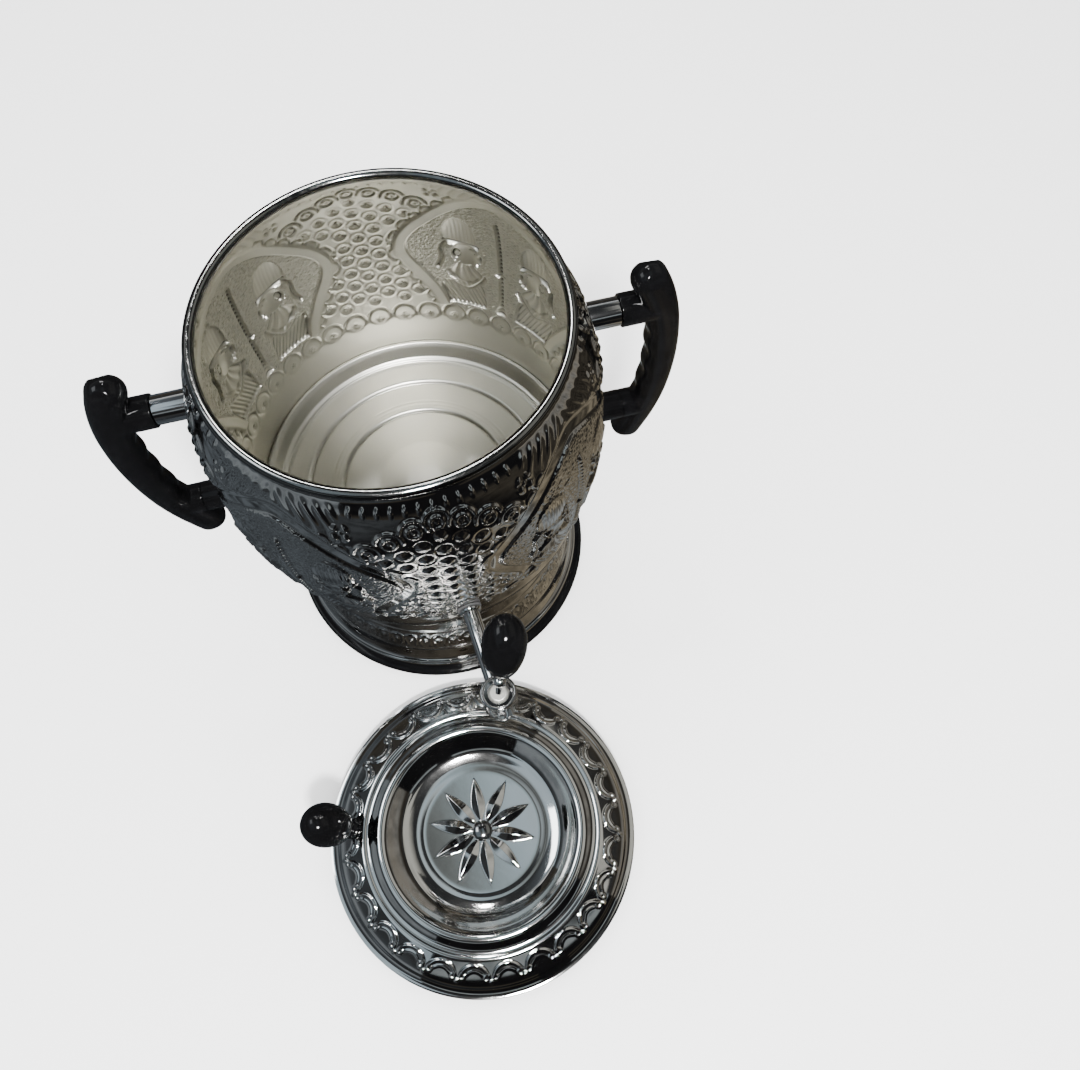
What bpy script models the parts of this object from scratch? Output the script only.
"""A stove-top samovar: an open tank on a vented skirt, with a turning tap, two handles and a lid.

Metres, +Z up. The tap points along -Y and the handles lie near the X axis. The lid has been
lifted off and lies on the ground in front of the tank, face up. The origin is on the ground,
at the middle of the rectangle that the whole set covers.

Every piece is a closed solid of its own. Lengths are named values, outlines are shares of them,
and pieces that touch keep the clearance GAP between them.
"""

import math

import bmesh
import bpy
import numpy as np
from mathutils import Matrix, Vector

MM = 0.001

# Clearances and cutting allowances
GAP = 0.3 * MM
OVERRUN = 3.0 * MM
WELD = 0.001 * MM

# Tank: a barrel of pressed sheet with a ring gripped over its cut edge
RIM_RADIUS = 100.0 * MM
RIM_HEIGHT = 290.0 * MM
RIM_BEAD_RADIUS = 3.0 * MM
BELLY_RADIUS = 115.5 * MM
TANK_WALL = 1.0 * MM
TANK_BOTTOM = 94.0 * MM
# Each pair is a share of the tank's height and a share of the step from neck to belly
TANK_OUTLINE_SHARES = (
    (0.0, 0.04), (0.052, 0.34), (0.124, 0.56), (0.264, 0.75), (0.394, 0.917), (0.523, 1.0),
    (0.653, 1.0), (0.756, 0.91), (0.834, 0.745), (0.896, 0.51), (0.943, 0.25), (0.968, 0.06),
    (0.982, 0.0), (1.0, 0.0),
)

# Pattern pressed into the tank's wall, in its main forms: pointed medallions with a staff and two
# busts each, on a plain ground between a row of garlands and a row of scallops
MEDALLION_COUNT = 4
MEDALLION_BEARING = math.radians(42.5)
GROUND_RAISE = 0.6 * MM
BORDER_SINK = 0.7 * MM
BUST_RAISE = 1.5 * MM
BAND_RAISE = 0.8 * MM
# Where lines stand across a medallion, as shares of its half width: on its middle, on the staff's
# foot, on three places over a bust and on the ground's edge
MEDALLION_LINE_SHARES = (0.0, 0.08, 0.25, 0.42, 0.62, 0.76, 1.0)
# Middle and outer line of the border, as shares of half the medallions' spacing past its edge
BORDER_LINE_SHARES = (0.045, 0.1)
# Lines between the border and the middle of the field, as shares of what is left
FIELD_LINE_SHARES = (0.25, 0.5, 0.75, 1.0)
# Each row from the wall's top edge down: a share of the wall's height, the medallion's half width
# as a share of half the medallions' spacing, and shares of the ground's raise, the border's sink,
# the bust's raise on each line of the medallion, and the bands' raise over medallion and field
WALL_ROW_SHARES = (
    (1.0, 0.45, 0.0, 0.0, (0.0, 0.0, 0.0, 0.0, 0.0, 0.0, 0.0), 0.0, 0.0),
    (0.982, 0.45, 0.0, 0.0, (0.0, 0.0, 0.0, 0.0, 0.0, 0.0, 0.0), 0.0, 0.0),
    (0.968, 0.44, 0.0, 0.0, (0.0, 0.0, 0.0, 0.0, 0.0, 0.0, 0.0), 0.0, 0.0),
    (0.943, 0.42, 0.0, 0.0, (0.0, 0.0, 0.0, 0.0, 0.0, 0.0, 0.0), 0.6, 0.0),
    (0.902, 0.38, 0.0, 0.0, (0.0, 0.0, 0.0, 0.0, 0.0, 0.0, 0.0), 0.9, 1.0),
    (0.87, 0.34, 0.0, 0.0, (0.0, 0.0, 0.0, 0.0, 0.0, 0.0, 0.0), 0.4, 0.0),
    (0.839, 0.3, 0.0, 1.0, (0.0, 0.0, 0.0, 0.0, 0.0, 0.0, 0.0), 0.0, 0.0),
    (0.808, 0.27, 1.0, 1.0, (0.0, 0.0, 0.0, 0.0, 0.0, 0.0, 0.0), 0.0, 0.0),
    (0.756, 0.39, 1.0, 1.0, (1.0, 0.0, 0.0, 0.0, 0.2, 0.0, 0.0), 0.0, 0.0),
    (0.69, 0.55, 1.0, 1.0, (1.0, 0.0, 0.1, 0.9, 1.0, 0.2, 0.0), 0.0, 0.0),
    (0.616, 0.68, 1.0, 1.0, (1.0, 0.0, 0.6, 1.3, 0.9, 0.2, 0.0), 0.0, 0.0),
    (0.57, 0.69, 1.0, 1.0, (1.0, 0.0, 0.7, 1.2, 0.7, 0.2, 0.0), 0.0, 0.0),
    (0.513, 0.63, 1.0, 1.0, (1.0, 0.0, 0.6, 1.2, 0.6, 0.2, 0.0), 0.0, 0.0),
    (0.446, 0.54, 1.0, 1.0, (1.0, 0.0, 0.5, 1.0, 0.8, 0.7, 0.0), 0.0, 0.0),
    (0.344, 0.45, 1.0, 1.0, (1.0, 0.0, 0.6, 0.7, 0.7, 0.7, 0.0), 0.0, 0.0),
    (0.32, 0.45, 0.0, 0.0, (0.0, 0.0, 0.0, 0.0, 0.0, 0.0, 0.0), 0.0, 0.0),
    (0.29, 0.45, 0.0, 0.0, (0.0, 0.0, 0.0, 0.0, 0.0, 0.0, 0.0), 1.0, 0.0),
    (0.243, 0.45, 0.0, 0.0, (0.0, 0.0, 0.0, 0.0, 0.0, 0.0, 0.0), 0.0, 0.0),
    (0.124, 0.45, 0.0, 0.0, (0.0, 0.0, 0.0, 0.0, 0.0, 0.0, 0.0), 0.0, 0.0),
    (0.052, 0.45, 0.0, 0.0, (0.0, 0.0, 0.0, 0.0, 0.0, 0.0, 0.0), 0.0, 0.0),
    (0.0, 0.45, 0.0, 0.0, (0.0, 0.0, 0.0, 0.0, 0.0, 0.0, 0.0), 0.0, 0.0),
)

# Floor of the tank: a stepped pressed disc with an upturned edge
FLOOR_ABOVE_BOTTOM = 9.0 * MM
FLOOR_CREST_RISE = 16.5 * MM
FLOOR_SHEET = 1.2 * MM
# How far the floor's edge hangs below its crest, as a share of its sheet
FLOOR_EDGE_SHARE = 1.5
# Each pair is a share of the floor's radius and a share of the rise to its crest
FLOOR_OUTLINE_SHARES = (
    (0.0, 0.2), (0.12, 0.17), (0.3, 0.03), (0.53, 0.0), (0.548, 0.1), (0.745, 0.1),
    (0.765, 0.2), (0.88, 0.25), (0.93, 0.42), (0.965, 0.85), (0.985, 1.0), (1.0, 0.97),
)

# Skirt under the tank: it flares to a rolled bead and has two rows of vents
SKIRT_SHEET = 1.0 * MM
SKIRT_WAIST_RADIUS = 92.5 * MM
SKIRT_FLARE = 9.0 * MM
SKIRT_RIM_FLARE = 13.2 * MM
SKIRT_BEAD_RADIUS = 3.0 * MM
SKIRT_BEAD_START = math.radians(75.0)
SKIRT_BEAD_END = math.radians(-150.0)
# Each pair is a share of the skirt's height and a share of the step from waist to foot
SKIRT_OUTLINE_SHARES = (
    (0.96, 0.28), (0.9, 0.05), (0.81, 0.0), (0.67, 0.08), (0.58, 0.194), (0.56, 0.28),
    (0.48, 0.38), (0.3, 0.683), (0.28, 0.656), (0.12, 0.88), (0.07, 1.0),
)
VENT_COUNT = 15
LOWER_VENT_RADIUS = 2.5 * MM
LOWER_VENT_HEIGHT = 22.0 * MM
UPPER_VENT_RADIUS = 3.6 * MM
UPPER_VENT_LENGTH = 10.0 * MM
UPPER_VENT_HEIGHT = 74.0 * MM
# How far round the upper vents are set off from the lower ones, as a share of their spacing
VENT_STAGGER_SHARE = 0.5

# Foot ring: black moulding that carries the skirt
FOOT_PROUD = 5.3 * MM
FOOT_WIDTH = 14.0 * MM
FOOT_THICKNESS = 6.7 * MM
FOOT_CHAMFER = 1.6 * MM

# Handles
HANDLE_TURN = math.radians(-5.0)
# Heights of the two arms as shares of the tank's height above its bottom
UPPER_ARM_SHARE = 0.824
LOWER_ARM_SHARE = 0.3
GRIP_TOP_RISE = 31.5 * MM
GRIP_BOTTOM_DROP = 34.5 * MM
GRIP_END_STANDOFF = 22.5 * MM
GRIP_STANDOFF = 40.5 * MM
GRIP_DEPTH = 20.5 * MM
GRIP_WIDTH = 19.0 * MM
GRIP_END_ROUND = 9.0 * MM
FINGER_WAVE_DEPTH = 2.0 * MM
FINGER_WAVES = 4
# Each pair is a share of the reach step and a share of the grip's height, from the bottom up
GRIP_LINE_SHARES = (
    (0.03, 0.0), (0.25, 0.064), (0.58, 0.168), (0.83, 0.283), (0.97, 0.416), (1.0, 0.532),
    (0.93, 0.665), (0.75, 0.792), (0.47, 0.896), (0.17, 0.971), (0.07, 1.0),
)
FINGER_SPAN_SHARES = (0.24, 0.74)
FERRULE_RADIUS = 8.2 * MM
FERRULE_END_STANDOFF = 11.7 * MM
NECK_RADIUS = 9.4 * MM
SPACER_RADIUS = 9.5 * MM
SPACER_END_STANDOFF = 20.2 * MM
SCREW_RADIUS = 3.0 * MM
SCREW_HEAD_RADIUS = 5.5 * MM
SCREW_HEAD_THICKNESS = 3.0 * MM
SCREW_GRIP_DEPTH = 14.0 * MM
SEAL_RADIUS = 7.5 * MM
SEAL_THICKNESS = 3.0 * MM
# Least thickness of a seal's edge where the wall leans over it
SEAL_EDGE = 0.3 * MM

# Tap: a pipe from the tank to an upright barrel with a turning plug
TAP_ABOVE_CREST = 28.5 * MM
TAP_PROJECTION = 55.5 * MM
PIPE_RADIUS = 5.0 * MM
PIPE_BORE_RADIUS = 3.5 * MM
PIPE_TAIL = 13.0 * MM
PIPE_SPIGOT = 2.2 * MM
TAP_SEAL_RADIUS = 7.4 * MM
TAP_SEAL_THICKNESS = 2.2 * MM
TAP_FLANGE_RADIUS = 6.9 * MM
TAP_FLANGE_THICKNESS = 2.4 * MM
LOCK_NUT_RADIUS = 9.5 * MM
LOCK_NUT_THICKNESS = 6.0 * MM
BARREL_RADIUS = 10.5 * MM
BARREL_RISE = 12.0 * MM
SHOULDER_DROP = 9.0 * MM
CHAMBER_RADIUS = 6.8 * MM
CHAMBER_DROP = 10.0 * MM
SPOUT_WAIST_RADIUS = 5.8 * MM
SPOUT_LIP_RADIUS = 6.8 * MM
SPOUT_BORE_RADIUS = 4.0 * MM
SPOUT_DROP = 33.5 * MM
# Heights on the spout as shares of the drop from the lip to the shoulder
SPOUT_WAIST_TOP_SHARE = 0.62
SPOUT_WAIST_END_SHARE = 0.32
SPOUT_LIP_SHARE = 0.12
BONNET_BORE_RADIUS = 6.0 * MM
BONNET_THICKNESS = 4.6 * MM
# The bonnet's dished face: radii as shares of the barrel's, and its depth as a share of the ring's
BONNET_RADIUS_SHARES = (0.8, 0.85, 0.95)
BONNET_STEP_SHARE = 0.5
PLUG_CROWN = 3.4 * MM
# The flat on the plug's crown as a share of its radius, and where its edge starts to round
PLUG_FLAT_SHARE = 0.8
PLUG_EDGE_SHARE = 0.6
PLUG_BORE_DEPTH = 14.0 * MM
LEVER_LEAN = math.radians(42.0)
LEVER_TURN = math.radians(150.0)
LEVER_RADIUS = 2.0 * MM
LEVER_BALL_RADIUS = 3.8 * MM
LEVER_BALL_PLACE = 7.6 * MM
LEVER_TAIL = 2.4 * MM
TAP_KNOB_START = 12.0 * MM
TAP_KNOB_LENGTH = 40.0 * MM
TAP_KNOB_WIDTH = 25.5 * MM
KNOB_NECK_RADIUS = 4.4 * MM
KNOB_SOCKET_DEPTH = 12.0 * MM
# Where along an egg knob it is widest, from its stem end
KNOB_WIDEST_SHARE = 0.56

# Lid: a pressed cover with a dish for a teapot, lying on its locating skirt
LID_SPACING = 6.3 * MM
LID_BEARING = math.radians(-99.3)
LID_RADIUS = 104.8 * MM
LID_CREST_HEIGHT = 29.0 * MM
LID_SHEET = 1.0 * MM
LID_SKIRT_INSET = 11.8 * MM
# Each pair is a share of the lid's radius and a share of its crest height
LID_DISH_SHARES = (
    (0.352, 0.48), (0.364, 0.5), (0.42, 0.5), (0.448, 0.524), (0.506, 0.607), (0.573, 0.776),
)
LID_BAND_SHARES = (
    (0.62, 0.959), (0.649, 1.0), (0.678, 0.966), (0.706, 0.876), (0.738, 0.814), (0.768, 0.869),
    (0.806, 0.841), (0.849, 0.762), (0.887, 0.666), (0.921, 0.572), (0.949, 0.469),
    (0.966, 0.434), (1.0, 0.42),
)
RIVET_HEAD_RADIUS = 7.0 * MM
RIVET_HEAD_HEIGHT = 3.2 * MM
# Each pair is a share of the rivet head's radius and a share of its height
RIVET_DOME_SHARES = ((0.0, 1.0), (0.55, 0.82), (0.9, 0.4), (1.0, 0.0))
RIVET_SHANK_RADIUS = 2.5 * MM
RIVET_TAIL_RADIUS = 4.4 * MM
RIVET_TAIL_THICKNESS = 1.6 * MM
RIVET_WASHER_RADIUS = 8.0 * MM
RIVET_WASHER_THICKNESS = 1.4 * MM
LID_KNOB_INSET = 15.3 * MM
LID_KNOB_BEARING = math.radians(160.4)
LID_KNOB_LENGTH = 42.0 * MM
LID_KNOB_WIDTH = 28.5 * MM
COLLAR_RADIUS = 7.0 * MM
COLLAR_THICKNESS = 4.5 * MM
KNOB_SCREW_RADIUS = 2.0 * MM
KNOB_SCREW_HEAD_RADIUS = 3.4 * MM
KNOB_SCREW_HEAD_THICKNESS = 2.4 * MM

# Facet counts
RING_FACETS = 36
SMALL_FACETS = 16
SCREW_FACETS = 10
VENT_FACETS = 8
GRIP_FACETS = 12
GRIP_RINGS = 28
GRIP_CAP_RINGS = 2
KNOB_RINGS = 8
HEX_FACETS = 6
RIM_POINTS = 9
BEAD_POINTS = 7
BALL_POINTS = 6

FULL_TURN = 2.0 * math.pi
SHARP_ANGLE = math.radians(35.0)
UP = Vector((0.0, 0.0, 1.0))
ORIGIN = Vector((0.0, 0.0, 0.0))
ALONG_X = (0.0, math.pi / 2.0, 0.0)

# Sizes that follow from the values above
TANK_TOP = RIM_HEIGHT - RIM_BEAD_RADIUS
TANK_NECK_RADIUS = RIM_RADIUS - RIM_BEAD_RADIUS + TANK_WALL / 2.0
FLOOR_HEIGHT = TANK_BOTTOM + FLOOR_ABOVE_BOTTOM
FLOOR_CREST_HEIGHT = FLOOR_HEIGHT + FLOOR_CREST_RISE
TAP_HEIGHT = FLOOR_CREST_HEIGHT + TAP_ABOVE_CREST
SKIRT_RIM_RADIUS = SKIRT_WAIST_RADIUS + SKIRT_RIM_FLARE
FOOT_RADIUS = SKIRT_RIM_RADIUS + FOOT_PROUD
FOOT_BORE_RADIUS = FOOT_RADIUS - FOOT_WIDTH
SKIRT_TOP = TANK_BOTTOM - GAP
SKIRT_BEAD_HEIGHT = FOOT_THICKNESS + GAP + SKIRT_BEAD_RADIUS
SKIRT_BEAD_CENTRE = SKIRT_RIM_RADIUS - SKIRT_BEAD_RADIUS
UPPER_ARM_HEIGHT = TANK_BOTTOM + UPPER_ARM_SHARE * (TANK_TOP - TANK_BOTTOM)
LOWER_ARM_HEIGHT = TANK_BOTTOM + LOWER_ARM_SHARE * (TANK_TOP - TANK_BOTTOM)
GRIP_TOP = UPPER_ARM_HEIGHT + GRIP_TOP_RISE
GRIP_BOTTOM = LOWER_ARM_HEIGHT - GRIP_BOTTOM_DROP
GRIP_END_REACH = BELLY_RADIUS + GRIP_END_STANDOFF
GRIP_REACH = BELLY_RADIUS + GRIP_STANDOFF
FERRULE_END_REACH = BELLY_RADIUS + FERRULE_END_STANDOFF
SPACER_END_REACH = BELLY_RADIUS + SPACER_END_STANDOFF
SCREW_HOLE_RADIUS = SCREW_RADIUS + GAP
PIPE_HOLE_RADIUS = PIPE_RADIUS + GAP
TAP_REACH = BELLY_RADIUS + TAP_PROJECTION
BARREL_TOP = TAP_HEIGHT + BARREL_RISE
BARREL_SHOULDER = TAP_HEIGHT - SHOULDER_DROP
CHAMBER_FLOOR = TAP_HEIGHT - CHAMBER_DROP
SPOUT_BOTTOM = TAP_HEIGHT - SPOUT_DROP
LID_SKIRT_RADIUS = LID_RADIUS - LID_SKIRT_INSET
LID_DISTANCE = BELLY_RADIUS + LID_RADIUS + LID_SPACING
LID_X = LID_DISTANCE * math.cos(LID_BEARING)
LID_Y = LID_DISTANCE * math.sin(LID_BEARING)
SET_MIDDLE_Y = (BELLY_RADIUS + LID_Y - LID_RADIUS) / 2.0


def clear_scene():
    """Remove every object, so that each run starts from nothing."""
    for item in list(bpy.data.objects):
        bpy.data.objects.remove(item, do_unlink=True)


def make_material(name, colour, roughness, metallic):
    """A Principled material of one colour."""
    material = bpy.data.materials.new(name)
    material.use_nodes = True
    shader = material.node_tree.nodes["Principled BSDF"]
    shader.inputs["Base Color"].default_value = (*colour, 1.0)
    shader.inputs["Roughness"].default_value = roughness
    shader.inputs["Metallic"].default_value = metallic
    material.diffuse_color = (*colour, 1.0)
    return material


def chrome(name):
    """Bright plated steel."""
    return make_material(name + "_chrome", (0.78, 0.79, 0.8), 0.08, 1.0)


def satin_steel(name):
    """Steel with a soft grey sheen."""
    return make_material(name + "_satin", (0.62, 0.61, 0.57), 0.35, 1.0)


def phenolic(name):
    """Gloss black moulding."""
    return make_material(name + "_phenolic", (0.01, 0.01, 0.011), 0.12, 0.0)


def rubber(name):
    """Dull black sealing rubber."""
    return make_material(name + "_rubber", (0.03, 0.03, 0.03), 0.75, 0.0)


def add_empty(name, parent=None, location=ORIGIN, rotation=(0.0, 0.0, 0.0)):
    """A frame that pieces hang from."""
    empty = bpy.data.objects.new(name, None)
    bpy.context.collection.objects.link(empty)
    empty.parent = parent
    empty.location = location
    empty.rotation_euler = rotation
    return empty


def add_piece(name, form, parent, finish, location=ORIGIN, rotation=(0.0, 0.0, 0.0)):
    """Turn a bmesh into one named object with its own material."""
    bmesh.ops.recalc_face_normals(form, faces=form.faces)
    mesh = bpy.data.meshes.new(name)
    form.to_mesh(mesh)
    form.free()
    mesh.shade_smooth()
    mesh.set_sharp_from_angle(angle=SHARP_ANGLE)
    piece = bpy.data.objects.new(name, mesh)
    bpy.context.collection.objects.link(piece)
    piece.parent = parent
    piece.location = location
    piece.rotation_euler = rotation
    if finish is not None:
        mesh.materials.append(finish(name))
    return piece


def add_cutter(name, form, parent, location=ORIGIN, rotation=(0.0, 0.0, 0.0)):
    """A guide solid that cuts or joins other pieces and isn't one itself."""
    cutter = add_piece(name, form, parent, None, location, rotation)
    cutter.hide_render = True
    cutter.display_type = "WIRE"
    return cutter


def combine(piece, tool, operation):
    """Cut a piece by a tool, or join the tool to it."""
    modifier = piece.modifiers.new(operation.lower() + "_" + tool.name, "BOOLEAN")
    modifier.operation = operation
    modifier.solver = "EXACT"
    modifier.object = tool


def turned(outline, facets, closed=True):
    """Turn an outline of (radius, height) points about Z.

    A closed outline makes a ring. An open one starts and ends on the axis.
    """
    form = bmesh.new()
    points = [form.verts.new((radius, 0.0, height)) for radius, height in outline]
    ends = points[1:] + points[:1] if closed else points[1:]
    edges = [form.edges.new(pair) for pair in zip(points, ends)]
    bmesh.ops.spin(form, geom=points + edges, cent=ORIGIN, axis=UP, angle=FULL_TURN,
                   steps=facets, use_merge=True)
    bmesh.ops.remove_doubles(form, verts=form.verts, dist=WELD)
    return form


def turned_at(outline, bearings):
    """Turn a closed outline of (radius, height) points about Z, with a section at each bearing."""
    return lofted([[(radius * math.cos(turn), radius * math.sin(turn), height) for turn in bearings]
                   for radius, height in outline], closed=True)


def lofted(rings, closed):
    """Join rings of points round Z. A closed run joins up, and an open one gets a fan at each end."""
    form = bmesh.new()
    rows = [[form.verts.new(point) for point in ring] for ring in rings]
    for low, high in zip(rows, rows[1:] + rows[:1] if closed else rows[1:]):
        for step, vert in enumerate(low):
            after = (step + 1) % len(low)
            form.faces.new((vert, low[after], high[after], high[step]))
    if not closed:
        for row in (rows[0], rows[-1]):
            pole = form.verts.new((0.0, 0.0, row[0].co.z))
            for step, vert in enumerate(row):
                form.faces.new((vert, row[(step + 1) % len(row)], pole))
    bmesh.ops.triangulate(form, faces=[face for face in form.faces if len(face.verts) > 3])
    return form


def rod_outline(radius, low, high):
    """Outline of a plain round rod."""
    return [(0.0, high), (radius, high), (radius, low), (0.0, low)]


def tube_outline(radius, bore, low, high):
    """Outline of a plain round tube."""
    return [(bore, high), (radius, high), (radius, low), (bore, low)]


def arc_points(centre, radius, start, end, count):
    """Points along an arc in an outline, angles in radians from the outward direction."""
    angles = np.linspace(start, end, count)
    return [(centre[0] + radius * math.cos(a), centre[1] + radius * math.sin(a)) for a in angles]


def sheet_outline(line, thickness):
    """Close an open outline into a sheet, by offsetting it to its right-hand side."""
    points = np.array(line)
    steps = np.diff(points, axis=0)
    steps /= np.linalg.norm(steps, axis=1)[:, None]
    before = np.vstack([steps[:1], steps])
    after = np.vstack([steps, steps[-1:]])
    if points[0][0] == 0.0:
        before[0] = after[0] = (1.0, 0.0)
    mean = before + after
    mean /= np.linalg.norm(mean, axis=1)[:, None]
    stretch = 1.0 / np.sum(mean * after, axis=1)
    normal = np.stack([mean[:, 1], -mean[:, 0]], axis=1)
    inner = points + normal * (thickness * stretch)[:, None]
    inner[:, 0] = np.maximum(inner[:, 0], 0.0)
    return [tuple(p) for p in points] + [tuple(p) for p in inner[::-1]]


def tank_radius(height):
    """Outer radius of the tank's plain wall at a height."""
    heights = [TANK_BOTTOM + (TANK_TOP - TANK_BOTTOM) * up for up, _ in TANK_OUTLINE_SHARES]
    radii = [TANK_NECK_RADIUS + (BELLY_RADIUS - TANK_NECK_RADIUS) * out
             for _, out in TANK_OUTLINE_SHARES]
    return float(np.interp(height, heights, radii))


def wall_lines(half_width):
    """Where the wall's lines stand from a medallion's middle to a field's, as shares of the way."""
    inside = [half_width * share for share in MEDALLION_LINE_SHARES]
    border = [half_width + share for share in BORDER_LINE_SHARES]
    return inside + border + [border[-1] + (1.0 - border[-1]) * share for share in FIELD_LINE_SHARES]


def wall_bearings(half_width):
    """Bearings of the wall's lines all the way round, mirrored about each medallion's middle."""
    lines = wall_lines(half_width)
    half = math.pi / MEDALLION_COUNT
    across = [-share * half for share in lines[:0:-1]] + [share * half for share in lines[:-1]]
    return [MEDALLION_BEARING + FULL_TURN * index / MEDALLION_COUNT + turn
            for index in range(MEDALLION_COUNT) for turn in across]


def wall_relief(row):
    """How far each line of one row of the wall is pressed outwards, in the order of wall_bearings."""
    _, _, ground, border, bust, over_medallion, over_field = row
    inside = [GROUND_RAISE * ground + BUST_RAISE * share * ground - BORDER_SINK * (border - ground)
              + BAND_RAISE * over_medallion for share in bust]
    edge = [BAND_RAISE * over_medallion - BORDER_SINK * border, BAND_RAISE * over_medallion]
    field = [BAND_RAISE * over_field] * len(FIELD_LINE_SHARES)
    lines = inside + edge + field
    return (lines[:0:-1] + lines[:-1]) * MEDALLION_COUNT


def wall_rings(offset):
    """Rings of points on the tank's wall from its top edge down, moved outwards by an offset."""
    rings = []
    for row in WALL_ROW_SHARES:
        height = TANK_BOTTOM + row[0] * (TANK_TOP - TANK_BOTTOM)
        plain = tank_radius(height) + offset
        rings.append([((plain + raised) * math.cos(turn), (plain + raised) * math.sin(turn), height)
                      for turn, raised in zip(wall_bearings(row[1]), wall_relief(row))])
    return rings


def smooth_path(points, places):
    """Catmull-Rom curve through 2D points, read at places from 0 to 1 along its length."""
    knots = np.array(points)
    lengths = np.linalg.norm(np.diff(knots, axis=0), axis=1)
    reach = np.concatenate([[0.0], np.cumsum(lengths)])
    slopes = np.gradient(knots, reach, axis=0)
    wanted = np.asarray(places) * reach[-1]
    index = np.clip(np.searchsorted(reach, wanted, side="right") - 1, 0, len(lengths) - 1)
    span = lengths[index][:, None]
    t = ((wanted - reach[index]) / lengths[index])[:, None]
    start, end = knots[index], knots[index + 1]
    out, into = slopes[index] * span, slopes[index + 1] * span
    return ((2 * t**3 - 3 * t**2 + 1) * start + (t**3 - 2 * t**2 + t) * out
            + (3 * t**2 - 2 * t**3) * end + (t**3 - t**2) * into)


def egg_outline(start, length, width, neck):
    """Outline of an egg knob from its flat stem end to its round far end."""
    widest = length * KNOB_WIDEST_SHARE
    half = width / 2.0
    first = widest * (1.0 - math.sqrt(1.0 - (neck / half) ** 2))
    angles = np.linspace(math.acos(1.0 - first / widest), math.pi, KNOB_RINGS)
    points = [(0.0, start)]
    for angle in angles[:-1]:
        side = widest if angle < math.pi / 2.0 else length - widest
        points.append((half * math.sin(angle), start - first + widest - side * math.cos(angle)))
    points.append((0.0, start - first + length))
    return points


def axis_frame(name, parent, location, lean, turn):
    """A frame whose Z axis leans away from upright towards a bearing."""
    return add_empty(name, parent, location, (0.0, lean, turn))


def make_tank(tank):
    """The embossed barrel, the ring on its edge and its stepped floor."""
    wall = lofted(wall_rings(0.0) + wall_rings(-TANK_WALL)[::-1], closed=True)
    shell = add_piece("vessel_shell", wall, tank, chrome)

    slot = TANK_WALL / 2.0 + GAP
    centre = (RIM_RADIUS - RIM_BEAD_RADIUS, TANK_TOP)
    mouth = math.asin(slot / RIM_BEAD_RADIUS)
    ring = arc_points(centre, RIM_BEAD_RADIUS, mouth - math.pi / 2.0, 1.5 * math.pi - mouth, RIM_POINTS)
    ring += [(centre[0] - slot, TANK_TOP + GAP), (centre[0] + slot, TANK_TOP + GAP)]
    form = turned_at(ring, wall_bearings(WALL_ROW_SHARES[0][1]))
    add_piece("rim_ring", form, tank, satin_steel)

    edge = FLOOR_CREST_HEIGHT - FLOOR_EDGE_SHARE * FLOOR_SHEET
    radius = tank_radius(edge) - TANK_WALL - GAP
    line = [(radius * out, FLOOR_HEIGHT + FLOOR_CREST_RISE * up) for out, up in FLOOR_OUTLINE_SHARES]
    floor = turned(sheet_outline(line, FLOOR_SHEET), RING_FACETS, closed=False)
    add_piece("vessel_floor", floor, tank, satin_steel)
    return shell


def vent_cutter(tank):
    """All the vents of the skirt: a row of round holes under a row of oblong ones."""
    form = bmesh.new()
    depth = SKIRT_RIM_RADIUS - SKIRT_WAIST_RADIUS + 2.0 * OVERRUN
    middle = (SKIRT_RIM_RADIUS + SKIRT_WAIST_RADIUS) / 2.0
    rows = ((LOWER_VENT_HEIGHT, LOWER_VENT_RADIUS, 0.0, 0.0),
            (UPPER_VENT_HEIGHT, UPPER_VENT_RADIUS, UPPER_VENT_LENGTH, VENT_STAGGER_SHARE))
    for height, radius, length, stagger_share in rows:
        stretch = 1.0 if length == 0.0 else length / (2.0 * radius)
        for index in range(VENT_COUNT):
            made = bmesh.ops.create_cone(form, cap_ends=True, segments=VENT_FACETS, radius1=radius,
                                         radius2=radius, depth=depth)
            verts = made["verts"]
            bmesh.ops.scale(form, vec=(1.0, stretch, 1.0), verts=verts)
            turn = FULL_TURN * (index + stagger_share) / VENT_COUNT
            lay = Matrix.Rotation(math.pi / 2.0, 3, "Y")
            bmesh.ops.rotate(form, cent=ORIGIN, matrix=lay, verts=verts)
            bmesh.ops.translate(form, vec=(middle, 0.0, height), verts=verts)
            around = Matrix.Rotation(turn, 3, "Z")
            bmesh.ops.rotate(form, cent=ORIGIN, matrix=around, verts=verts)
    return add_cutter("vent_cutter", form, tank)


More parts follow.
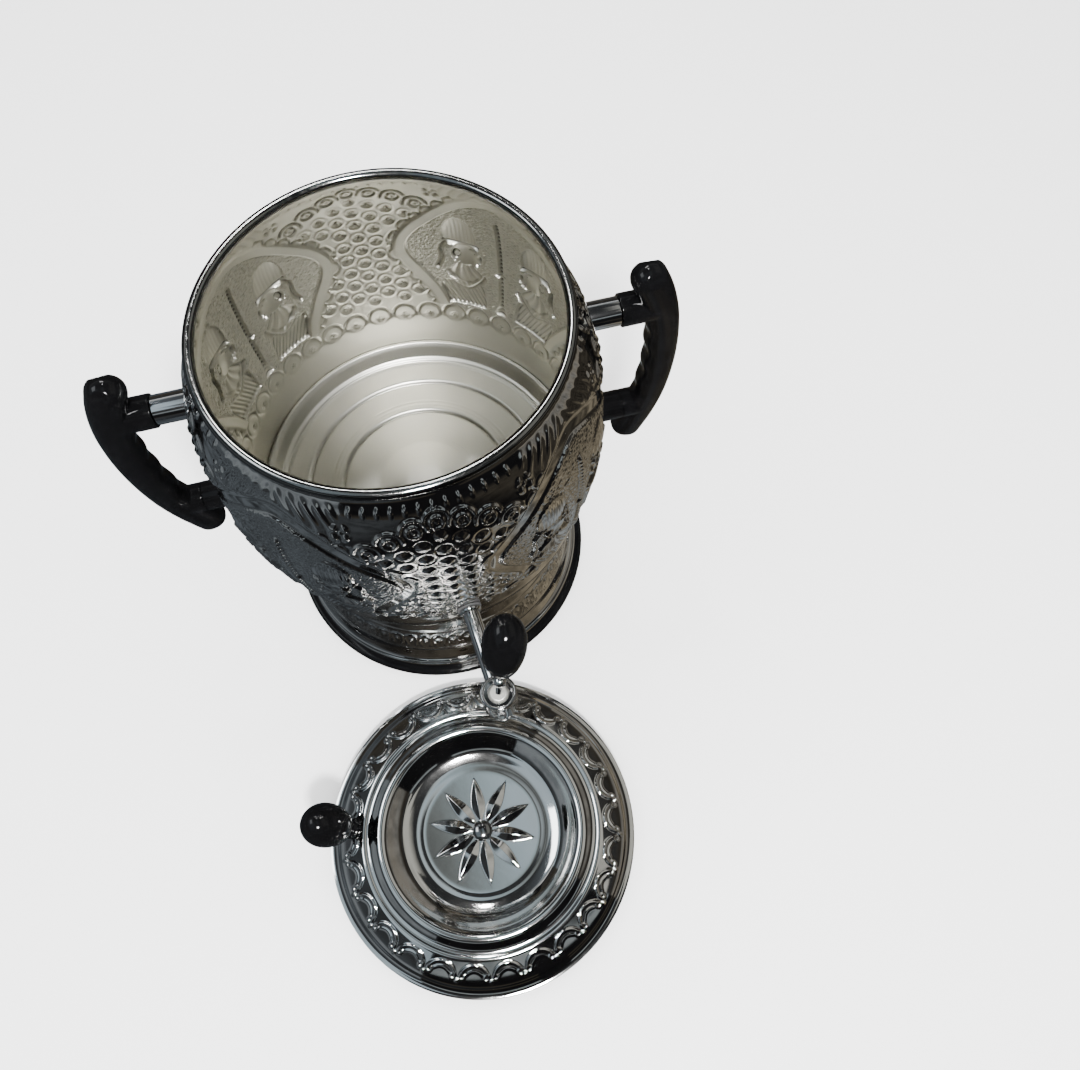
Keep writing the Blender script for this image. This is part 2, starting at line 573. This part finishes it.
def make_base(tank):
    """The vented skirt and the black ring that it stands on."""
    height = SKIRT_TOP - SKIRT_BEAD_HEIGHT
    line = [(tank_radius(TANK_BOTTOM), SKIRT_TOP)]
    line += [(SKIRT_WAIST_RADIUS + SKIRT_FLARE * out, SKIRT_BEAD_HEIGHT + height * up)
             for up, out in SKIRT_OUTLINE_SHARES]
    inside = [(radius - SKIRT_SHEET, z) for radius, z in line[::-1]]
    bead = arc_points((SKIRT_BEAD_CENTRE, SKIRT_BEAD_HEIGHT), SKIRT_BEAD_RADIUS,
                      SKIRT_BEAD_START, SKIRT_BEAD_END, BEAD_POINTS)
    skirt = add_piece("base_skirt", turned(line + bead + inside, RING_FACETS), tank, chrome)
    combine(skirt, vent_cutter(tank), "DIFFERENCE")

    chamfered = [(FOOT_BORE_RADIUS, FOOT_THICKNESS), (FOOT_RADIUS - FOOT_CHAMFER, FOOT_THICKNESS),
                 (FOOT_RADIUS, FOOT_THICKNESS - FOOT_CHAMFER), (FOOT_RADIUS, FOOT_CHAMFER),
                 (FOOT_RADIUS - FOOT_CHAMFER, 0.0), (FOOT_BORE_RADIUS, 0.0)]
    add_piece("foot_ring", turned(chamfered, RING_FACETS), tank, phenolic)


def grip_form():
    """The curved bar of a handle, with finger waves on its inner side, lofted through rings."""
    reach_step = GRIP_REACH - GRIP_END_REACH
    height = GRIP_TOP - GRIP_BOTTOM
    line = [(GRIP_END_REACH + reach_step * out, GRIP_BOTTOM + height * up)
            for out, up in GRIP_LINE_SHARES]
    length = float(np.linalg.norm(np.diff(np.array(line), axis=0), axis=1).sum())
    cap = GRIP_END_ROUND / length
    bends = np.linspace(0.0, math.pi / 2.0, GRIP_CAP_RINGS + 2)[1:-1]
    ends = cap * (1.0 - np.cos(bends))
    places = np.concatenate([ends, np.linspace(cap, 1.0 - cap, GRIP_RINGS), 1.0 - ends[::-1]])
    sizes = np.concatenate([np.sin(bends), np.ones(GRIP_RINGS), np.sin(bends)[::-1]])
    middle = smooth_path(line, places)
    tangent = np.gradient(middle, axis=0)
    tangent /= np.linalg.norm(tangent, axis=1)[:, None]
    first, last = FINGER_SPAN_SHARES
    phase = np.clip((places - first) / (last - first), 0.0, 1.0)
    wave = FINGER_WAVE_DEPTH * (0.5 - 0.5 * np.cos(FULL_TURN * FINGER_WAVES * phase))

    form = bmesh.new()
    rings = []
    for point, along, size, dip in zip(middle, tangent, sizes, wave):
        ring = []
        for step in range(GRIP_FACETS):
            angle = FULL_TURN * step / GRIP_FACETS
            depth = GRIP_DEPTH / 2.0 - (dip if math.cos(angle) < 0.0 else 0.0)
            out = depth * size * math.cos(angle)
            ring.append(form.verts.new((point[0] + along[1] * out,
                                        GRIP_WIDTH / 2.0 * size * math.sin(angle),
                                        point[1] - along[0] * out)))
        rings.append(ring)
    for low, high in zip(rings, rings[1:]):
        for step in range(GRIP_FACETS):
            after = (step + 1) % GRIP_FACETS
            form.faces.new((low[step], low[after], high[after], high[step]))
    for ring, place in ((rings[0], 0.0), (rings[-1], 1.0)):
        tip = smooth_path(line, [place])[0]
        pole = form.verts.new((tip[0], 0.0, tip[1]))
        for step in range(GRIP_FACETS):
            form.faces.new((ring[step], ring[(step + 1) % GRIP_FACETS], pole))
    return form


def make_handle(tank, side, turn, shell, belly_cutter, wall_cutter):
    """One black grip on two arms, each held by a screw from inside the tank."""
    frame = add_empty("handle_" + side + "_frame", tank, rotation=(0.0, 0.0, turn))
    grip = add_piece("handle_" + side + "_grip", grip_form(), frame, phenolic)
    arms = (("upper", UPPER_ARM_HEIGHT, "ferrule", FERRULE_RADIUS, FERRULE_END_REACH, chrome),
            ("lower", LOWER_ARM_HEIGHT, "spacer", SPACER_RADIUS, SPACER_END_REACH, phenolic))
    for arm, height, sleeve, radius, end, finish in arms:
        at = (0.0, 0.0, height)
        name = "handle_" + side + "_"
        face = end + GAP
        wall = tank_radius(height)
        boss_radius = min(NECK_RADIUS, radius * NECK_RADIUS / FERRULE_RADIUS)
        boss = turned(rod_outline(boss_radius, face, GRIP_REACH - GRIP_DEPTH / 4.0),
                      SMALL_FACETS, closed=False)
        combine(grip, add_cutter(name + arm + "_boss", boss, frame, at, ALONG_X), "UNION")
        bore = turned(rod_outline(SCREW_HOLE_RADIUS, face - OVERRUN, face + SCREW_GRIP_DEPTH + GAP),
                      SCREW_FACETS, closed=False)
        combine(grip, add_cutter(name + arm + "_bore", bore, frame, at, ALONG_X), "DIFFERENCE")
        hole = turned(rod_outline(SCREW_HOLE_RADIUS, wall - TANK_WALL - OVERRUN, wall + OVERRUN),
                      SCREW_FACETS, closed=False)
        combine(shell, add_cutter(name + arm + "_hole", hole, frame, at, ALONG_X), "DIFFERENCE")

        tube = turned(tube_outline(radius, SCREW_HOLE_RADIUS, wall - radius, end), SMALL_FACETS)
        sleeve_piece = add_piece(name + sleeve, tube, frame, finish, at, ALONG_X)
        combine(sleeve_piece, belly_cutter, "DIFFERENCE")

        leaning = min(tank_radius(height - SEAL_RADIUS), tank_radius(height + SEAL_RADIUS))
        seat = min(wall - SEAL_THICKNESS, leaning - GAP - SEAL_EDGE) - TANK_WALL
        seal = turned(tube_outline(SEAL_RADIUS, SCREW_HOLE_RADIUS, seat, wall), SMALL_FACETS)
        seal_piece = add_piece(name + arm + "_seal", seal, frame, rubber, at, ALONG_X)
        combine(seal_piece, wall_cutter, "DIFFERENCE")

        under = seat - GAP
        screw = [(0.0, face + SCREW_GRIP_DEPTH), (SCREW_RADIUS, face + SCREW_GRIP_DEPTH),
                 (SCREW_RADIUS, under), (SCREW_HEAD_RADIUS, under),
                 (SCREW_HEAD_RADIUS, under - SCREW_HEAD_THICKNESS),
                 (0.0, under - SCREW_HEAD_THICKNESS)]
        add_piece(name + arm + "_screw", turned(screw, SCREW_FACETS, closed=False), frame,
                  satin_steel, at, ALONG_X)


def make_tap_pipe(frame, shell, belly_cutter, wall_cutter):
    """The pipe through the tank's wall, with its seals, flange and lock nut."""
    at = (0.0, 0.0, TAP_HEIGHT)
    wall = tank_radius(TAP_HEIGHT)
    inside = wall - TANK_WALL
    hole = turned(rod_outline(PIPE_HOLE_RADIUS, inside - OVERRUN, wall + OVERRUN),
                  SMALL_FACETS, closed=False)
    combine(shell, add_cutter("tap_hole", hole, frame, at, ALONG_X), "DIFFERENCE")

    end = TAP_REACH - BARREL_RADIUS + PIPE_SPIGOT
    pipe = turned(tube_outline(PIPE_RADIUS, PIPE_BORE_RADIUS, inside - PIPE_TAIL, end), SMALL_FACETS)
    add_piece("tap_pipe", pipe, frame, chrome, at, ALONG_X)

    outer = tube_outline(TAP_SEAL_RADIUS, PIPE_HOLE_RADIUS, inside, wall + TAP_SEAL_THICKNESS)
    outer_seal = add_piece("tap_outer_seal", turned(outer, SMALL_FACETS), frame, rubber, at, ALONG_X)
    combine(outer_seal, belly_cutter, "DIFFERENCE")
    seat = inside - TAP_SEAL_THICKNESS
    inner = tube_outline(TAP_SEAL_RADIUS, PIPE_HOLE_RADIUS, seat, wall)
    inner_seal = add_piece("tap_inner_seal", turned(inner, SMALL_FACETS), frame, rubber, at, ALONG_X)
    combine(inner_seal, wall_cutter, "DIFFERENCE")

    low = wall + TAP_SEAL_THICKNESS + GAP
    flange = tube_outline(TAP_FLANGE_RADIUS, PIPE_HOLE_RADIUS, low, low + TAP_FLANGE_THICKNESS)
    add_piece("tap_flange", turned(flange, SMALL_FACETS), frame, chrome, at, ALONG_X)
    high = seat - GAP
    hexagon = rod_outline(LOCK_NUT_RADIUS, high - LOCK_NUT_THICKNESS, high)
    nut = add_piece("tap_lock_nut", turned(hexagon, HEX_FACETS, closed=False), frame, satin_steel,
                    at, ALONG_X)
    thread = turned(rod_outline(PIPE_HOLE_RADIUS, high - LOCK_NUT_THICKNESS - OVERRUN, high + OVERRUN),
                    SMALL_FACETS, closed=False)
    combine(nut, add_cutter("tap_nut_bore", thread, frame, at, ALONG_X), "DIFFERENCE")


def make_tap_barrel(frame):
    """The upright barrel with its spout, and the bonnet that keeps the plug in."""
    span = BARREL_SHOULDER - SPOUT_BOTTOM
    outline = [(CHAMBER_RADIUS, BARREL_TOP), (BARREL_RADIUS, BARREL_TOP),
               (BARREL_RADIUS, BARREL_SHOULDER),
               (SPOUT_WAIST_RADIUS, SPOUT_BOTTOM + SPOUT_WAIST_TOP_SHARE * span),
               (SPOUT_WAIST_RADIUS, SPOUT_BOTTOM + SPOUT_WAIST_END_SHARE * span),
               (SPOUT_LIP_RADIUS, SPOUT_BOTTOM + SPOUT_LIP_SHARE * span),
               (SPOUT_LIP_RADIUS, SPOUT_BOTTOM), (SPOUT_BORE_RADIUS, SPOUT_BOTTOM),
               (SPOUT_BORE_RADIUS, CHAMBER_FLOOR), (CHAMBER_RADIUS, CHAMBER_FLOOR)]
    body = add_piece("tap_body", turned(outline, SMALL_FACETS), frame, chrome, (TAP_REACH, 0.0, 0.0))
    at = (0.0, 0.0, TAP_HEIGHT)
    face = TAP_REACH - BARREL_RADIUS
    socket = turned(rod_outline(PIPE_HOLE_RADIUS, face - OVERRUN, face + PIPE_SPIGOT + GAP),
                    SMALL_FACETS, closed=False)
    combine(body, add_cutter("tap_socket", socket, frame, at, ALONG_X), "DIFFERENCE")
    port = turned(rod_outline(PIPE_BORE_RADIUS, face, TAP_REACH), SMALL_FACETS, closed=False)
    combine(body, add_cutter("tap_port", port, frame, at, ALONG_X), "DIFFERENCE")

    low = BARREL_TOP + GAP
    high = low + BONNET_THICKNESS
    step = low + BONNET_STEP_SHARE * BONNET_THICKNESS
    dish, inner, outer = (share * BARREL_RADIUS for share in BONNET_RADIUS_SHARES)
    bonnet = [(BONNET_BORE_RADIUS, step), (dish, step), (inner, high), (outer, high),
              (BARREL_RADIUS, step), (BARREL_RADIUS, low), (BONNET_BORE_RADIUS, low)]
    add_piece("tap_bonnet", turned(bonnet, SMALL_FACETS), frame, chrome, (TAP_REACH, 0.0, 0.0))


def make_tap_key(frame):
    """The turning part of the tap: the bored plug, its lever and the egg knob."""
    axis = add_empty("tap_key_axis", frame, (TAP_REACH, 0.0, 0.0))
    body_radius = CHAMBER_RADIUS - GAP
    head_radius = BONNET_BORE_RADIUS - GAP
    shoulder = BARREL_TOP - GAP
    low = CHAMBER_FLOOR + GAP
    top = BARREL_TOP + PLUG_CROWN
    outline = [(0.0, top), (PLUG_FLAT_SHARE * head_radius, top),
               (head_radius, BARREL_TOP + PLUG_EDGE_SHARE * PLUG_CROWN),
               (head_radius, shoulder), (body_radius, shoulder), (body_radius, low),
               (SPOUT_BORE_RADIUS, low), (SPOUT_BORE_RADIUS, low + PLUG_BORE_DEPTH),
               (0.0, low + PLUG_BORE_DEPTH)]
    plug = add_piece("tap_plug", turned(outline, SMALL_FACETS, closed=False), axis, satin_steel)
    port = turned(rod_outline(PIPE_BORE_RADIUS, 0.0, CHAMBER_RADIUS + OVERRUN), SMALL_FACETS,
                  closed=False)
    sideways = (math.pi / 2.0, 0.0, 0.0)
    at = (0.0, 0.0, TAP_HEIGHT)
    combine(plug, add_cutter("plug_port", port, axis, at, sideways), "DIFFERENCE")

    arm = axis_frame("lever_axis", axis, (0.0, 0.0, top), LEVER_LEAN, LEVER_TURN)
    hole = turned(rod_outline(LEVER_RADIUS + GAP, -LEVER_TAIL - GAP, OVERRUN), SCREW_FACETS,
                  closed=False)
    combine(plug, add_cutter("lever_hole", hole, arm), "DIFFERENCE")
    bulge = math.acos(LEVER_RADIUS / LEVER_BALL_RADIUS)
    end = TAP_KNOB_START + KNOB_SOCKET_DEPTH - GAP
    rod = [(0.0, end), (LEVER_RADIUS, end)]
    rod += arc_points((0.0, LEVER_BALL_PLACE), LEVER_BALL_RADIUS, bulge, -bulge, BALL_POINTS)
    rod += [(LEVER_RADIUS, -LEVER_TAIL), (0.0, -LEVER_TAIL)]
    add_piece("tap_lever", turned(rod, SMALL_FACETS, closed=False), arm, chrome)
    make_knob("tap_knob", arm, TAP_KNOB_START, TAP_KNOB_LENGTH, TAP_KNOB_WIDTH, LEVER_RADIUS)


def make_knob(name, frame, start, length, width, rod_radius):
    """A black egg knob with a blind socket for the rod that holds it."""
    egg = turned(egg_outline(start, length, width, KNOB_NECK_RADIUS), SMALL_FACETS, closed=False)
    knob = add_piece(name, egg, frame, phenolic)
    socket = turned(rod_outline(rod_radius + GAP, start - OVERRUN, start + KNOB_SOCKET_DEPTH),
                    SCREW_FACETS, closed=False)
    combine(knob, add_cutter(name + "_socket", socket, frame), "DIFFERENCE")


def lid_line():
    """Top face of the lid as (radius, height) points, from its middle hole to its edge."""
    shares = LID_DISH_SHARES + LID_BAND_SHARES
    dish = LID_DISH_SHARES[0][1] * LID_CREST_HEIGHT
    line = [(RIVET_SHANK_RADIUS + GAP, dish)]
    return line + [(LID_RADIUS * out, LID_CREST_HEIGHT * up) for out, up in shares]


def lid_height(radius):
    """Height of the lid's top face at a radius."""
    line = lid_line()
    return float(np.interp(radius, [r for r, _ in line], [z for _, z in line]))


def make_lid(frame):
    """The pressed lid, its locating skirt, and the rivet in the middle of its dish."""
    shell = add_piece("lid_shell", turned(sheet_outline(lid_line(), LID_SHEET), RING_FACETS), frame,
                      chrome)
    slope = lid_slope(LID_SKIRT_RADIUS)
    top = lid_height(LID_SKIRT_RADIUS) - (LID_SHEET + GAP) / math.cos(slope)
    skirt = tube_outline(LID_SKIRT_RADIUS, LID_SKIRT_RADIUS - LID_SHEET, 0.0, top)
    add_piece("lid_skirt", turned(skirt, RING_FACETS), frame, chrome)

    dish = lid_height(RIVET_HEAD_RADIUS)
    base = dish + GAP
    under = dish - LID_SHEET - GAP
    washer = tube_outline(RIVET_WASHER_RADIUS, RIVET_SHANK_RADIUS + GAP,
                          under - RIVET_WASHER_THICKNESS, under)
    add_piece("lid_rivet_washer", turned(washer, SMALL_FACETS), frame, satin_steel)
    tail = under - RIVET_WASHER_THICKNESS - GAP
    rivet = [(RIVET_HEAD_RADIUS * out, base + RIVET_HEAD_HEIGHT * up)
             for out, up in RIVET_DOME_SHARES]
    rivet += [(RIVET_SHANK_RADIUS, base), (RIVET_SHANK_RADIUS, tail), (RIVET_TAIL_RADIUS, tail),
              (RIVET_TAIL_RADIUS, tail - RIVET_TAIL_THICKNESS), (0.0, tail - RIVET_TAIL_THICKNESS)]
    add_piece("lid_rivet", turned(rivet, SMALL_FACETS, closed=False), frame, chrome)
    return shell


def lid_slope(radius):
    """Downward slope of the lid's band just outside a radius, in radians."""
    step = KNOB_SCREW_RADIUS
    return math.atan((lid_height(radius) - lid_height(radius + step)) / step)


def make_lid_knob(frame, shell):
    """The egg knob on the lid's band, square to the slope, with its collar and screw."""
    seat = LID_RADIUS - LID_KNOB_INSET
    place = (seat * math.cos(LID_KNOB_BEARING), seat * math.sin(LID_KNOB_BEARING), lid_height(seat))
    axis = axis_frame("lid_knob_axis", frame, place, lid_slope(seat), LID_KNOB_BEARING)
    clear = KNOB_SCREW_RADIUS + GAP
    hole = turned(rod_outline(clear, -LID_SHEET - OVERRUN, OVERRUN), SCREW_FACETS, closed=False)
    combine(shell, add_cutter("lid_knob_hole", hole, axis), "DIFFERENCE")
    collar = tube_outline(COLLAR_RADIUS, clear, GAP, GAP + COLLAR_THICKNESS)
    add_piece("lid_knob_collar", turned(collar, SMALL_FACETS), axis, phenolic)
    start = COLLAR_THICKNESS + 2.0 * GAP
    make_knob("lid_knob", axis, start, LID_KNOB_LENGTH, LID_KNOB_WIDTH, KNOB_SCREW_RADIUS)
    tip = start + KNOB_SOCKET_DEPTH - GAP
    under = -LID_SHEET - 3.0 * GAP
    screw = [(0.0, tip), (KNOB_SCREW_RADIUS, tip), (KNOB_SCREW_RADIUS, under),
             (KNOB_SCREW_HEAD_RADIUS, under),
             (KNOB_SCREW_HEAD_RADIUS, under - KNOB_SCREW_HEAD_THICKNESS),
             (0.0, under - KNOB_SCREW_HEAD_THICKNESS)]
    add_piece("lid_knob_screw", turned(screw, SCREW_FACETS, closed=False), axis, satin_steel)


def build():
    """Model the whole set around its origin."""
    clear_scene()
    middle = add_empty("set_frame", location=(0.0, -SET_MIDDLE_Y, 0.0))
    tank = add_empty("tank_frame", middle)
    shell = make_tank(tank)
    make_base(tank)

    belly_cutter = add_cutter("belly_cutter", lofted(wall_rings(GAP), closed=False), tank)
    band = wall_rings(SEAL_RADIUS) + wall_rings(-TANK_WALL - GAP)[::-1]
    wall_cutter = add_cutter("wall_cutter", lofted(band, closed=True), tank)

    make_handle(tank, "right", HANDLE_TURN, shell, belly_cutter, wall_cutter)
    make_handle(tank, "left", HANDLE_TURN + math.pi, shell, belly_cutter, wall_cutter)

    tap = add_empty("tap_frame", tank, rotation=(0.0, 0.0, -math.pi / 2.0))
    make_tap_pipe(tap, shell, belly_cutter, wall_cutter)
    make_tap_barrel(tap)
    make_tap_key(tap)

    lid = add_empty("lid_frame", middle, (LID_X, LID_Y, 0.0))
    lid_shell = make_lid(lid)
    make_lid_knob(lid, lid_shell)
    bpy.context.view_layer.update()


build()
